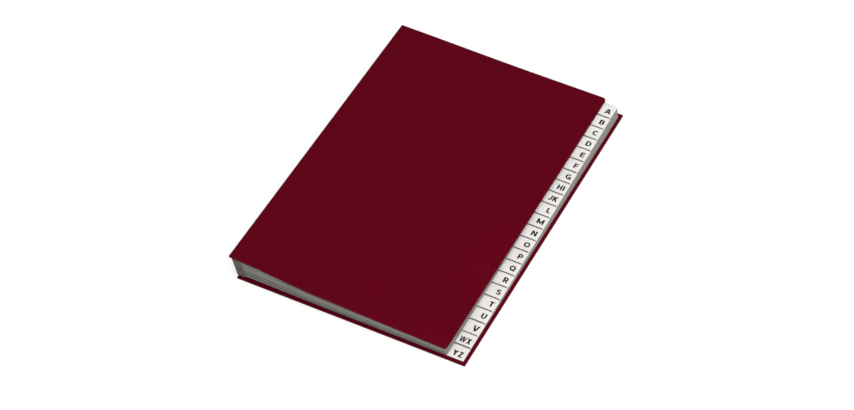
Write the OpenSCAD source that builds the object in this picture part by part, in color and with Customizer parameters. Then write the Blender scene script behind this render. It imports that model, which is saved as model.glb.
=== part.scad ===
// Alphabetical desk sorter: two covered boards, a stack of step-cut index
// leaves, and a concertina spine of cloth that holds every leaf in a pleat.
// The sorter lies closed on its back cover. X runs from the spine to the
// fore-edge, Y from the tail to the head and Z up. The origin is on the desk,
// under the middle of the sorter.

/* [Covers] */
// Length of both covers, from tail to head
cover_l = 340; // [300:1:380]
// Width of the back cover
back_w = 240; // [225:1:260]
// Width of the front cover, short enough to leave the index tabs in view
front_w = 228; // [215:1:240]
// How far the front cover's spine edge stands past the back cover's
front_lead = 6; // [5:0.5:9]
// Thickness of the greyboard core of a cover
board_t = 1.8; // [1.2:0.1:3]
// Thickness of the covering, and of the lining paper between its turn-ins
wrap_t = 0.2; // [0.15:0.01:0.4]
// Width of the covering turned in over a board's inner face
turn_in = 15; // [8:1:25]
// Gap between the turned-in covering and the lining paper
lining_gap = 0.5; // [0.2:0.1:1.5]
// Radius of the front cover's two fore-edge corners
corner_r = 3.5; // [1:0.5:8]

/* [Index leaves] */
// Thickness of a card leaf
leaf_t = 0.45; // [0.4:0.01:0.7]
// Back cover's spine edge to the spine edge of the lowest leaf
spine_margin = 0.5; // [0.4:0.1:2]
// Fore-edge of the lowest leaf to the back cover's fore-edge
fore_margin = 3.1; // [1:0.1:8]
// Tail of the leaves to the tail of the covers
tail_margin = 3; // [1:0.5:8]
// Head of the leaves to the head of the covers
head_margin = 3.5; // [1:0.5:8]
// How far the top leaf is set toward the spine from the lowest one
stack_lean = 1; // [0:0.1:3]
// Air between two leaves at the fore-edge
leaf_gap = 0.115; // [0.08:0.005:0.2]
// Radius of a leaf's head corner at the fore-edge
leaf_r = 2.5; // [1:0.5:8]

/* [Index tabs] */
// Width of a tab, which is the depth of the step cut
tab_w = 17; // [12:0.5:22]
// How much longer the first tab, at the head, is than the others
first_more = 2.4; // [0:0.1:6]
// Thickness of the white tab label
label_t = 0.1; // [0.06:0.01:0.2]
// Bare card left between a label and the cut edges around its tab
label_inset = 0.25; // [0.1:0.05:1]

/* [Concertina spine] */
// Thickness of the spine cloth
cloth_t = 0.15; // [0.12:0.01:0.25]
// How far the cloth stands past the leaves at their head and tail
cloth_over = 1; // [0:0.1:1]
// Paste between the cloth and what it is stuck to
paste_t = 0.02; // [0.015:0.005:0.05]
// Depth of a pleat, from a leaf's spine edge to the inner fold
pleat_d = 6.5; // [4:0.5:12]
// How far the top pleat stands out past its leaf, falling to none at the lowest
pleat_stand = 2.2; // [0:0.1:2.5]
// Air between two pleats
pleat_gap = 0.12; // [0.1:0.01:0.2]
// Height of the lowest pleat above the back cover
pleat_lift = 1.4; // [0.4:0.1:3]
// How far the fold at the front cover's hinge is set in from the cover's spine edge
hinge_set = 1; // [0.6:0.1:2]
// Width of the cloth panel that is pasted inside each cover
panel_w = 24; // [14:1:40]
// Length over which the cloth comes down from the lowest pleat to its panel
panel_run = 5; // [3:0.5:8]

/* [Hidden] */
$fn = 48;
INDEX = ["a", "b", "c", "d", "e", "f", "g", "hi", "jk", "l", "m", "n", "o", "p", "q", "r", "s", "t",
         "u", "v", "wx", "yz"];

burgundy = "#5f061a";
greyboard = "#8d8a80";
lining_grey = "#a8a69e";
leaf_grey = "#9b9b92";
label_white = "#f6f4ef";
cloth_grey = "#54554f";

leaves = len(INDEX);
cover_t = board_t + 2 * wrap_t;
leaf_w = back_w - spine_margin - fore_margin;
leaf_l = cover_l - tail_margin - head_margin;
tab_l = (leaf_l - first_more) / leaves;

// Turn of the cloth from one flat to the next around a leaf's spine edge
fold_turn = 45;

// One leaf in its pleat is the card, the cloth on both sides and the paste.
cloth_side = cloth_t + paste_t;
spine_pitch = leaf_t + 2 * cloth_side + pleat_gap;
fore_pitch = leaf_t + leaf_gap;

// Where leaf i and its tab lie. Leaf 0 is the top one, and below(i) counts those under it.
function below(i) = leaves - 1 - i;
function rise(i) = below(i) / (leaves - 1);
function tab_tail(i) = below(i) * tab_l;
function tab_head(i) = i == 0 ? leaf_l : tab_tail(i - 1);
function spine_x(i) = spine_margin - stack_lean * rise(i);
function spine_z(i) = cover_t + pleat_lift + cloth_side + below(i) * spine_pitch;
function fore_z(i) = cover_t + leaf_gap + below(i) * fore_pitch;
function tilt(i) = asin((spine_z(i) - fore_z(i)) / leaf_w);

// A point of leaf i's own side view, brought into the sorter's side view
function placed(i, p) = [
    spine_x(i) + p.x * cos(tilt(i)) + p.y * sin(tilt(i)),
    spine_z(i) - p.x * sin(tilt(i)) + p.y * cos(tilt(i))];

function reversed(list) = [for (k = [len(list) - 1 : -1 : 0]) list[k]];

// How far pleat i stands out past its leaf. The top one reaches out to the front cover's hinge.
function stand(i) = i == 0 ? front_lead + spine_x(0) - hinge_set : pleat_stand * rise(i);

// Top of the room inside pleat i. The upper side of the top pleat is the front cover's panel.
function pocket_top(i) = i == 0 ? panel_z : leaf_t + paste_t;

// One face of the cloth around leaf i, from over the leaf, round its spine edge, to under it.
// off is 0 for the face toward the leaf, and the cloth's thickness for the other one.
function pleat_face(i, off) =
    let (top = pocket_top(i) + off, bottom = -paste_t - off, middle = [-stand(i), (top + bottom) / 2]) [
        placed(i, [i == 0 ? panel_w : pleat_d - off, top]),
        for (a = [90 : fold_turn : 270]) placed(i, middle + (top - bottom) / 2 * [cos(a), sin(a)]),
        placed(i, [pleat_d - off, bottom])];

// The front cover lies along the top leaf, over the panel that is pasted inside it.
panel_z = leaf_t + pleat_gap;
front_z = panel_z + cloth_side;
front_hinge_z = spine_z(0) + front_z / cos(tilt(0)) + (spine_x(0) + front_lead) * tan(tilt(0));

module centred() {
    translate([(front_lead - back_w) / 2, -cover_l / 2, 0]) children();
}

// Outline of a cover, or of its board, with round corners at the fore-edge
module cover_outline(w, l, r) {
    square([w - r, l]);
    translate([0, r]) square([w, l - 2 * r]);
    if (r > 0)
        for (y = [r, l - r])
            translate([w - r, y]) circle(r);
}

// The three layers of a cover, with its inner face at z = 0 and its spine edge at x = 0
module cover_board(w, r) {
    translate([wrap_t, wrap_t, wrap_t])
        linear_extrude(board_t)
            cover_outline(w - 2 * wrap_t, cover_l - 2 * wrap_t, max(r - wrap_t, 0));
}

module cover_window(w, gap, z, h) {
    edge = turn_in + gap;
    translate([edge, edge, z]) cube([w - 2 * edge, cover_l - 2 * edge, h]);
}

module cover_wrap(w, r) {
    difference() {
        linear_extrude(cover_t) cover_outline(w, cover_l, r);
        cover_board(w, r);
        cover_window(w, 0, -wrap_t, 2 * wrap_t);
    }
}

module cover_lining(w) {
    cover_window(w, lining_gap, 0, wrap_t);
}

module as_back_cover() {
    centred() translate([0, 0, cover_t]) mirror([0, 0, 1]) children();
}

module as_front_cover() {
    centred() translate([-front_lead, 0, front_hinge_z]) rotate([0, tilt(0), 0]) children();
}

module back_board() {
    color(greyboard) as_back_cover() cover_board(back_w, 0);
}

module back_wrap() {
    color(burgundy) as_back_cover() cover_wrap(back_w, 0);
}

module back_lining() {
    color(lining_grey) as_back_cover() cover_lining(back_w);
}

module front_board() {
    color(greyboard) as_front_cover() cover_board(front_w, corner_r);
}

module front_wrap() {
    color(burgundy) as_front_cover() cover_wrap(front_w, corner_r);
}

module front_lining() {
    color(lining_grey) as_front_cover() cover_lining(front_w);
}

module on_leaf(i) {
    centred() translate([spine_x(i), tail_margin, spine_z(i)]) rotate([0, tilt(i), 0]) children();
}

// Outline of the strip from x0 to the fore-edge and from y0 to the head, with the round head corner
module head_strip(x0, y0) {
    translate([x0, y0]) square([leaf_w - leaf_r - x0, leaf_l - y0]);
    translate([x0, y0]) square([leaf_w - x0, leaf_l - leaf_r - y0]);
    translate([leaf_w - leaf_r, leaf_l - leaf_r]) circle(leaf_r);
}

// A leaf is whole from the head down to its own tab, and cut back below that.
module leaf(i) {
    color(leaf_grey) on_leaf(i) linear_extrude(leaf_t) {
        square([leaf_w - tab_w, leaf_l]);
        head_strip(0, tab_tail(i));
    }
}

// The label covers the part of a leaf that no leaf above reaches.
module tab_label(i) {
    tail_y = tab_tail(i) + label_inset;
    color(label_white) on_leaf(i) translate([0, 0, leaf_t]) linear_extrude(label_t)
        intersection() {
            head_strip(leaf_w - tab_w + label_inset, tail_y);
            translate([0, tail_y]) square([leaf_w, tab_head(i) - label_inset - tail_y]);
        }
}

// Side view of the whole strip of cloth. It starts as a panel pasted inside the front cover, folds
// round the spine edge of every leaf, and comes down to a panel pasted inside the back cover.
module cloth_strip() {
    lowest = leaves - 1;
    down_x = pleat_d + panel_run;
    back_z = cover_t + paste_t;
    leaf_face = [for (i = [0 : lowest]) each pleat_face(i, 0)];
    open_face = [for (i = [lowest : -1 : 0]) each reversed(pleat_face(i, cloth_t))];
    polygon(concat(
        leaf_face,
        [[down_x + cloth_t, back_z + cloth_t], [panel_w, back_z + cloth_t]],
        [[panel_w, back_z], [down_x, back_z]],
        open_face));
}

module spine_gusset() {
    color(cloth_grey) centred()
        translate([0, tail_margin + leaf_l + cloth_over, 0]) rotate([90, 0, 0])
            linear_extrude(leaf_l + 2 * cloth_over) cloth_strip();
}

back_board();
back_wrap();
back_lining();
spine_gusset();
for (i = [0 : leaves - 1]) {
    leaf(i);
    tab_label(i);
}
front_board();
front_wrap();
front_lining();
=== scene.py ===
"""Looks of the alphabetical desk sorter: covers, index leaves, lettered tabs and concertina spine."""
import functools
import logging
import math
from dataclasses import dataclass
from enum import Enum

import bmesh
import bpy
import numpy as np
from mathutils import Matrix


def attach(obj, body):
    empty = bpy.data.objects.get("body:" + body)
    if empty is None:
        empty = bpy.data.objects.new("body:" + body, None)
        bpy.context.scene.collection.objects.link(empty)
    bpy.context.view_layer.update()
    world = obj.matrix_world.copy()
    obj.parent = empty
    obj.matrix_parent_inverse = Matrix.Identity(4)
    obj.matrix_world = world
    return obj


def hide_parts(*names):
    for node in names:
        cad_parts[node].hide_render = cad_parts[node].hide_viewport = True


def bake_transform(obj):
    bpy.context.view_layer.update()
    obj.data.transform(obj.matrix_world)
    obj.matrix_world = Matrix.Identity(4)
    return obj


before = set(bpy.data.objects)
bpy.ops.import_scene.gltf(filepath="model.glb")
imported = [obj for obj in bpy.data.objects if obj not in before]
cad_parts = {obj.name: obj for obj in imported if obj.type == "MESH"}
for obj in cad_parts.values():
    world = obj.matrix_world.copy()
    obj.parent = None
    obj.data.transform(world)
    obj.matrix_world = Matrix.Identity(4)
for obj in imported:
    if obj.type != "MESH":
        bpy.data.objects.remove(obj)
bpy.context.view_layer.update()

LOG = logging.getLogger("sorter")
MM = 0.001
SEED = 11

Array, Piece = np.ndarray, bpy.types.Object
Node, Socket, Tree = bpy.types.Node, bpy.types.NodeSocket, bpy.types.NodeTree
# A number or an array of them, two coordinates of a run of points, and those with the level of each
Values = Array | float
Run = tuple[Array, Array]
Path = tuple[Array, Array, Array]


def smoothstep(t: Values) -> Values:
    """3 t t - 2 t t t, which leaves 0 and reaches 1 without a kink."""
    return t * t * (3 - 2 * t)


@dataclass(frozen=True)
class SorterPlan:
    """Sizes of the sorter in millimetres, and the sums that say where each leaf lies.

    The side view has its origin on the desk under the back cover's spine edge, with x toward the
    fore-edge and z up. A level counts leaves from the top one, which is 0, and may lie between two.
    A leaf's own frame has x from its spine edge, y from its tail and z from its underside.
    """

    letters: tuple[str, ...] = tuple("A B C D E F G HI JK L M N O P Q R S T U V WX YZ".split())
    cover_l: float = 340.0
    back_w: float = 240.0
    front_w: float = 228.0
    front_lead: float = 6.0
    cover_t: float = 2.2
    skin_t: float = 0.2
    turn_in: float = 15.0
    lining_gap: float = 0.5
    corner_r: float = 3.5
    leaf_t: float = 0.45
    spine_margin: float = 0.5
    fore_margin: float = 3.1
    tail_margin: float = 3.0
    head_margin: float = 3.5
    stack_lean: float = 1.0
    leaf_gap: float = 0.115
    leaf_r: float = 2.5
    tab_w: float = 17.0
    first_more: float = 2.4
    label_t: float = 0.1
    label_inset: float = 0.25
    cloth_t: float = 0.15
    cloth_over: float = 1.0
    paste_t: float = 0.02
    pleat_d: float = 6.5
    pleat_stand: float = 2.2
    pleat_gap: float = 0.12
    pleat_lift: float = 1.4
    hinge_set: float = 1.0
    panel_w: float = 24.0
    panel_run: float = 5.0
    bulge: float = 0.7
    sag: float = 0.8
    sink: float = 0.8
    splay: float = 3.9
    splay_reach: float = 0.34
    splay_power: float = 3.5
    draw_in: float = 1.0

    @property
    def lowest(self) -> int:
        """Level of the lowest leaf."""
        return len(self.letters) - 1

    @property
    def leaf_w(self) -> float:
        """Width of a whole leaf, from its spine edge to its fore-edge."""
        return self.back_w - self.spine_margin - self.fore_margin

    @property
    def leaf_l(self) -> float:
        """Length of a leaf, from tail to head."""
        return self.cover_l - self.tail_margin - self.head_margin

    @property
    def tab_l(self) -> float:
        """Length of an index tab. The first one is longer."""
        return (self.leaf_l - self.first_more) / len(self.letters)

    @property
    def cloth_side(self) -> float:
        """Cloth and paste on one side of a leaf."""
        return self.cloth_t + self.paste_t

    @property
    def cloth_low(self) -> float:
        """Middle of the cloth that lies under a leaf, in the leaf's own frame."""
        return -self.paste_t - self.cloth_t / 2

    @property
    def wall_end(self) -> float:
        """Where the cloth's walls end and its inner folds start, from a leaf's spine edge."""
        return self.pleat_d - self.cloth_t

    @property
    def panel_z(self) -> float:
        """Underside of the front cover's cloth panel, above the top leaf's underside."""
        return self.leaf_t + self.pleat_gap

    @property
    def front_z(self) -> float:
        """Inner face of the front cover, above the top leaf's underside."""
        return self.panel_z + self.cloth_side

    @property
    def front_edge_x(self) -> float:
        """Spine edge of the front cover, along the top leaf from that leaf's spine edge."""
        lead = self.front_lead + self.spine(0)[0]
        return -lead / math.cos(self.tilt(0)) - self.front_z * math.tan(self.tilt(0))

    def key(self, level: int) -> str:
        """Letters of a leaf as they stand in node names."""
        return self.letters[level].lower()

    def rise(self, level: Values) -> Values:
        """Height of a leaf in the stack, from 0 at the lowest to 1 at the top one."""
        return (self.lowest - level) / self.lowest

    def spine(self, level: Values) -> tuple:
        """Place of the lower corner of a leaf's spine edge in the side view."""
        pitch = self.leaf_t + 2 * self.cloth_side + self.pleat_gap
        foot = self.cover_t + self.pleat_lift + self.cloth_side
        return self.spine_margin - self.stack_lean * self.rise(level), foot + (self.lowest - level) * pitch

    def tilt(self, level: Values) -> Values:
        """Angle by which a leaf falls toward its fore-edge, in radians."""
        pitch = self.leaf_t + self.leaf_gap
        fore_z = self.cover_t + self.leaf_gap + (self.lowest - level) * pitch
        return np.arcsin((self.spine(level)[1] - fore_z) / self.leaf_w)

    def stand(self, level: int) -> float:
        """How far the fold of a pleat stands out past its leaf's spine edge."""
        if level == 0:
            return self.front_lead + self.spine(0)[0] - self.hinge_set
        return self.pleat_stand * self.rise(level) + self.bulge

    def tail_share(self, y: Values) -> Values:
        """1 at the tail, falling evenly to 0 at the head, so that the pleats stay plane."""
        return 1 - y / self.leaf_l

    def splay_share(self, x: Values, y: Values) -> Values:
        """How much of the splay a place of a leaf has: all of it at the tail's spine corner.

        Along the leaf it falls evenly to none at the head. Across the leaf it falls as a smoothstep, from
        the pleat to the splay's reach.

        Args:
            x: Distance from the leaf's spine edge.
            y: Distance from the leaf's tail.

        Returns:
            The share, from 0 to 1.
        """
        t = np.clip((x - self.pleat_d) / (self.splay_reach * self.leaf_w), 0, 1)
        return self.tail_share(y) * (1 - smoothstep(t))

    def drop(self, level: Values, x: Values, y: Values) -> Values:
        """How far a leaf hangs below its flat place.

        Toward the head the stack sags between pleat and fore-edge as a squared sine. Toward the tail it
        sinks, but its spine corner splays upward, most of all between the lowest leaves. The back cover
        counts as one level below the lowest leaf, and stays where it is.

        Args:
            level: Level of the leaf.
            x: Distance from the leaf's spine edge.
            y: Distance from the leaf's tail.

        Returns:
            The drop in millimetres.
        """
        u = np.clip((x - self.pleat_d) / (self.leaf_w - self.pleat_d), 0, 1)
        tail, rise = self.tail_share(y), self.rise(level)
        loose = 1 - np.power(np.clip(1 - rise - 1 / self.lowest, 0, 1), self.splay_power)
        sunk = (1 - tail) * self.sag * np.square(np.sin(math.pi * u)) + tail * self.sink
        return np.clip(rise, 0, 1) * sunk - loose * self.splay * self.splay_share(x, y)

    def side(self, level: Values, x: Values, z: Values) -> tuple:
        """A point of a leaf's own side view, turned by its tilt and moved to its spine edge."""
        turn, (x0, z0) = self.tilt(level), self.spine(level)
        return x0 + x * np.cos(turn) + z * np.sin(turn), z0 - x * np.sin(turn) + z * np.cos(turn)

    def frame_points(self, x: Values, y: Values, z: Values) -> Array:
        """Points of the sorter's side view, at y from the covers' tail, as rows in the sorter's frame."""
        middle = (self.back_w - self.front_lead) / 2
        return np.stack(np.broadcast_arrays(x - middle, y - self.cover_l / 2, z), axis=-1)

    def leaf_points(self, level: int, x: Values, y: Values, z: Values) -> Array:
        """Points of a leaf's own frame in the sorter's frame."""
        across, high = self.side(level, x, z)
        return self.frame_points(across, y + self.tail_margin, high)


@dataclass
class Surface:
    """A mesh as whole arrays.

    Points are in millimetres in the sorter's frame. Each face is a row of point numbers. cut marks each
    face: 0 for none, up to 1 for a cut edge, and -1 for an edge painted dark as the shadow of a gap
    between leaves; its values also carry painted light and shade on some cut edges. rim holds a value
    for each point, and cloth a pair for each point.
    """

    points: Array
    faces: Array
    cut: Array | None = None
    rim: Array | None = None
    cloth: Array | None = None

    def piece(self, name: str, weld: bool = False, crease: float = 35.0) -> Piece:
        """Makes a Blender object of the surface, at the origin with its place in its mesh.

        Args:
            name: Name of the piece.
            weld: Whether points that lie together become one, as at corners and seams.
            crease: Angle in degrees from which an edge stays sharp.

        Returns:
            The new object, linked to the scene.
        """
        mesh = bpy.data.meshes.new(name)
        mesh.from_pydata((self.points * MM).tolist(), [], self.faces.tolist())
        # the face mark written here carries cut edges and also painted light and shade: painted shade on
        # the step wall, painted light on the lowest fore-edges, painted shadow on some tail edges
        for label, domain, values in (("cut_edge_and_painted_light", "FACE", self.cut), ("rim", "POINT", self.rim)):
            if values is not None:
                data = mesh.attributes.new(label, "FLOAT", domain).data
                data.foreach_set("value", values.astype(np.float32))
        if self.cloth is not None:
            corners = np.empty(len(mesh.loops), np.int32)
            mesh.loops.foreach_get("vertex_index", corners)
            lay = mesh.uv_layers.new(name="cloth")
            lay.data.foreach_set("uv", (self.cloth[corners] * MM).astype(np.float32).ravel())
        if weld:
            shape = bmesh.new()
            shape.from_mesh(mesh)
            bmesh.ops.remove_doubles(shape, verts=shape.verts, dist=1e-6)
            bmesh.ops.dissolve_degenerate(shape, edges=shape.edges, dist=1e-7)
            shape.to_mesh(mesh)
            shape.free()
        mesh.validate()
        mesh.shade_smooth()
        mesh.set_sharp_from_angle(angle=math.radians(crease))
        made = bpy.data.objects.new(name, mesh)
        bpy.context.scene.collection.objects.link(made)
        return made


def cells(number: Array) -> Array:
    """The four point numbers of each cell of a grid, counter-clockwise from its first corner."""
    return np.stack([number[:-1, :-1], number[:-1, 1:], number[1:, 1:], number[1:, :-1]], -1)


def slab(upper: Array, lower: Array, keep: Array | None = None) -> Surface:
    """A closed thin solid between two grids of points.

    Every kept cell gives one face on the upper grid and one, turned over, on the lower grid. Wherever a
    kept cell borders on one that is not kept, or on the grid's rim, a wall joins the two grids.

    Args:
        upper: Points of the upper face, as rows by columns by 3, with the upper face's outside up when
            columns run to the right and rows away from the viewer.
        lower: Points of the lower face, in the same order.
        keep: For each cell, whether it is part of the solid. All are when it is left out.

    Returns:
        The solid, with its walls marked as cut edges.
    """
    rows, columns = upper.shape[:2]
    keep = np.ones((rows - 1, columns - 1), bool) if keep is None else keep
    number = np.arange(rows * columns).reshape(rows, columns)
    top = cells(number)[keep]
    bottom = top[:, [0, 3, 2, 1]] + rows * columns
    ring = np.pad(keep, 1)
    inside, outside = ring[1:-1, :], ring[:, 1:-1]
    walls = []
    for edge, a, b in (
        (outside[:-1] & ~outside[1:], number[:, :-1], number[:, 1:]),
        (~outside[:-1] & outside[1:], number[:, 1:], number[:, :-1]),
        (inside[:, :-1] & ~inside[:, 1:], number[1:, :], number[:-1, :]),
        (~inside[:, :-1] & inside[:, 1:], number[:-1, :], number[1:, :]),
    ):
        a, b = a[edge], b[edge]
        walls.append(np.stack([a, b, b + rows * columns, a + rows * columns], -1))
    walls = np.concatenate(walls)
    used, faces = np.unique(np.concatenate([top, bottom, walls]), return_inverse=True)
    points = np.concatenate([upper.reshape(-1, 3), lower.reshape(-1, 3)])[used]
    cut = np.concatenate([np.zeros(len(top) + len(bottom)), np.ones(len(walls))])
    return Surface(points, faces.reshape(-1, 4), cut=cut)


def spread(*stops: tuple[float, int]) -> Array:
    """Rising places along a line: from each stop to the next, in as many even steps as the stop says."""
    runs = [
        np.linspace(start, end, steps, endpoint=False)
        for (start, steps), (end, _) in zip(stops, stops[1:])
    ]
    return np.concatenate([*runs, [stops[-1][0]]])


def rounded(x: Array, y: Array, x0: float, y0: float, r: float) -> Run:
    """Bends the square corner beyond (x0, y0) of a grid into a quarter circle.

    With p and q as shares of the radius, p becomes p sqrt(1 - q q / 2) and q becomes q sqrt(1 - p p / 2).

    Args:
        x: Columns' places.
        y: Rows' places.
        x0: Centre of the quarter circle along x.
        y0: Centre of the quarter circle along y.
        r: Radius, negative for a corner toward lower y.

    Returns:
        The bent places.
    """
    p = np.clip((x - x0) / abs(r), 0, 1)
    q = np.clip((y - y0) / r, 0, 1)
    here = (p > 0) & (q > 0)
    bent_x = x0 + abs(r) * p * np.sqrt(1 - q * q / 2)
    bent_y = y0 + r * q * np.sqrt(1 - p * p / 2)
    return np.where(here, bent_x, x), np.where(here, bent_y, y)


@dataclass
class Graph:
    """Lays and links the nodes of one shader tree."""

    tree: Tree

    def feed(self, node: Node, inputs: dict) -> Node:
        """Sets a node's inputs, by name or number, to values, or links them to sockets."""
        for key, value in inputs.items():
            if isinstance(value, Socket):
                self.tree.links.new(value, node.inputs[key])
            else:
                node.inputs[key].default_value = value
        return node

    def node(self, kind: str, inputs: dict | None = None, **settings: object) -> Node:
        """Adds a node.

        Args:
            kind: Node type without the word ShaderNode.
            inputs: Values or sockets for its inputs, by name or number.
            settings: The node's own properties.

        Returns:
            The node.
        """
        made = self.tree.nodes.new("ShaderNode" + kind)
        for key, value in settings.items():
            setattr(made, key, value)
        return self.feed(made, inputs or {})

    def math(self, operation: str, *values: object) -> Socket:
        """The result of a Math node on these values or sockets."""
        return self.node("Math", dict(enumerate(values)), operation=operation).outputs[0]

    def mix(self, factor: object, a: object, b: object, blend: str = "MIX") -> Socket:
        """The result of mixing two colours."""
        made = self.node("Mix", {0: factor, 6: a, 7: b}, data_type="RGBA", blend_type=blend)
        return made.outputs[2]

    def ramp(self, value: object, low: float, high: float, to_low: float, to_high: float) -> Socket:
        """A value brought from one range smoothly into another, and held there."""
        ends = {0: value, 1: low, 2: high, 3: to_low, 4: to_high}
        return self.node("MapRange", ends, interpolation_type="SMOOTHSTEP").outputs[0]

    def place(self) -> Socket:
        """Object coordinates, in metres."""
        return self.node("TexCoord").outputs["Object"]

    def attribute(self, name: str) -> Socket:
        """A value that the mesh carries."""
        return self.node("Attribute", attribute_name=name).outputs["Fac"]

    def clouds(self, scale: object, detail: float, roughness: float) -> Node:
        """Noise over object coordinates, scale in cycles per metre."""
        inputs = {"Vector": self.place(), "Scale": scale, "Detail": detail, "Roughness": roughness}
        return self.node("TexNoise", inputs)

    def noise(self, scale: object, detail: float, roughness: float = 0.55) -> Socket:
        """The value of such noise."""
        return self.clouds(scale, detail, roughness).outputs["Fac"]

    def drift(self, clouds: Node, reach: float) -> Socket:
        """Object coordinates moved by the noise's colour times a reach in metres."""
        inputs = {0: clouds.outputs["Color"], "Scale": reach}
        shift = self.node("VectorMath", inputs, operation="SCALE").outputs[0]
        return self.node("VectorMath", {0: self.place(), 1: shift}, operation="ADD").outputs[0]

    def bump(self, height: object, depth: float, strength: float) -> Socket:
        """A normal bent by a relief of that depth in metres."""
        return self.node("Bump", {"Height": height, "Distance": depth, "Strength": strength}).outputs[0]

    def group(self, tree: Tree, inputs: dict) -> bpy.types.bpy_prop_collection:
        """The outputs of a node group."""
        return self.node("Group", inputs, node_tree=tree).outputs


def new_group(name: str, inputs: dict[str, float | tuple], outputs: dict[str, str]) -> tuple:
    """Starts a shader node group.

    Args:
        name: Name of the group.
        inputs: Default for each input, a tuple for a colour.
        outputs: Kind of each output, Float or Color.

    Returns:
        The graph, the sockets that bring its inputs, and the node that takes its outputs.
    """
    tree = bpy.data.node_groups.new(name, "ShaderNodeTree")
    for key, value in inputs.items():
        kind = "NodeSocketColor" if isinstance(value, tuple) else "NodeSocketFloat"
        tree.interface.new_socket(name=key, in_out="INPUT", socket_type=kind).default_value = value
    for key, kind in outputs.items():
        tree.interface.new_socket(name=key, in_out="OUTPUT", socket_type="NodeSocket" + kind)
    entry, leave = tree.nodes.new("NodeGroupInput"), tree.nodes.new("NodeGroupOutput")
    return Graph(tree), entry.outputs, leave


@functools.cache
def mottle_group() -> Tree:
    """Slow cloudy change of a colour's lightness, as handling and dyeing leave it."""
    inputs = {"Colour": (0.5, 0.5, 0.5, 1.0), "Amount": 0.05, "Scale": 20.0}
    graph, given, leave = new_group("mottle", inputs, {"Colour": "Color"})
    cloud = graph.ramp(graph.noise(given["Scale"], 4.0, 0.6), 0.3, 0.7, -1.0, 1.0)
    light = graph.math("ADD", graph.math("MULTIPLY", cloud, given["Amount"]), 1.0)
    graph.feed(leave, {"Colour": graph.mix(1.0, given["Colour"], light, "MULTIPLY")})
    return graph.tree


@functools.cache
def fibre_group() -> Tree:
    """Pressed paper: short dark flecks and a felted relief."""
    outputs = {"Fleck": "Float", "Height": "Float"}
    graph, given, leave = new_group("fibres", {"Scale": 900.0, "Flecks": 0.1}, outputs)
    felt = graph.clouds(given["Scale"], 5.0, 0.65)
    spots = {"Vector": graph.drift(felt, 0.004), "Scale": graph.math("MULTIPLY", given["Scale"], 0.4)}
    near = graph.node("TexVoronoi", spots).outputs["Distance"]
    fleck = graph.math("MULTIPLY", graph.ramp(near, 0.06, 0.16, 1.0, 0.0), given["Flecks"])
    graph.feed(leave, {"Fleck": fleck, "Height": felt.outputs["Fac"]})
    return graph.tree


@functools.cache
def wear_group() -> Tree:
    """Rubbed rims: a mask that follows a rim value, broken up by noise."""
    inputs = {"Rim": 0.0, "Scale": 250.0, "Amount": 0.5}
    graph, given, leave = new_group("rubbed_rim", inputs, {"Mask": "Float"})
    patch = graph.math("SUBTRACT", graph.noise(given["Scale"], 6.0, 0.7), 0.5)
    mask = graph.ramp(graph.math("ADD", given["Rim"], patch), 0.75, 1.15, 0.0, 1.0)
    graph.feed(leave, {"Mask": graph.math("MULTIPLY", mask, given["Amount"])})
    return graph.tree


class Finish:
    """A surface finish that makes its material once."""

    name: str
    slot: str | None

    @functools.cached_property
    def material(self) -> bpy.types.Material:
        """The finish's material."""
        made = bpy.data.materials.new(self.name)
        made.use_nodes = True
        graph = Graph(made.node_tree)
        graph.feed(made.node_tree.nodes["Principled BSDF"], self.look(graph))
        return made

    def look(self, graph: Graph) -> dict:
        """Lays the finish's nodes, and says what goes into the inputs of the material's shader."""
        raise NotImplementedError

    def dress(self, piece: Piece) -> None:
        """Gives a piece this finish."""
        piece.data.materials.clear()
        piece.data.materials.append(self.material)


@dataclass(frozen=True, eq=False)
class Leatherette(Finish):
    """Bookbinder's leatherette: a fine pebble grain with dark creases, rubbed paler at its rims."""

    name: str = "burgundy leatherette"
    slot: str = "covering"
    colour: tuple = (0.1155, 0.0003, 0.0087, 1.0)
    crease: tuple = (0.065, 0.0002, 0.0046, 1.0)
    rubbed: tuple = (0.17, 0.011, 0.026, 1.0)
    grain: float = 1500.0
    relief: float = 0.00012

    def look(self, graph: Graph) -> dict:
        """Pebbles are smooth cells with narrow creases between them, which colour and sheen follow."""
        place = graph.drift(graph.clouds(self.grain / 3, 2.0, 0.5), 0.0006)
        pebbles = {"Vector": place, "Scale": self.grain, "Smoothness": 0.35}
        cell = graph.node("TexVoronoi", pebbles, feature="SMOOTH_F1").outputs["Distance"]
        crease = graph.ramp(cell, 0.45, 0.8, 0.0, 1.0)
        base = graph.mix(graph.math("MULTIPLY", crease, 0.45), self.colour, self.crease)
        dyed = graph.group(mottle_group(), {"Colour": base, "Amount": 0.035, "Scale": 14.0})
        rim = {"Rim": graph.attribute("rim"), "Amount": 0.65, "Scale": 320.0}
        worn = graph.group(wear_group(), rim)
        fine = graph.math("MULTIPLY", graph.noise(self.grain * 2.5, 3.0), 0.25)
        return {
            "Base Color": graph.mix(worn["Mask"], dyed["Colour"], self.rubbed),
            "Roughness": graph.ramp(crease, 0.0, 1.0, 0.46, 0.64),
            "Specular IOR Level": 0.03,
            "Normal": graph.bump(graph.math("SUBTRACT", fine, cell), self.relief, 0.35),
        }


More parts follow.
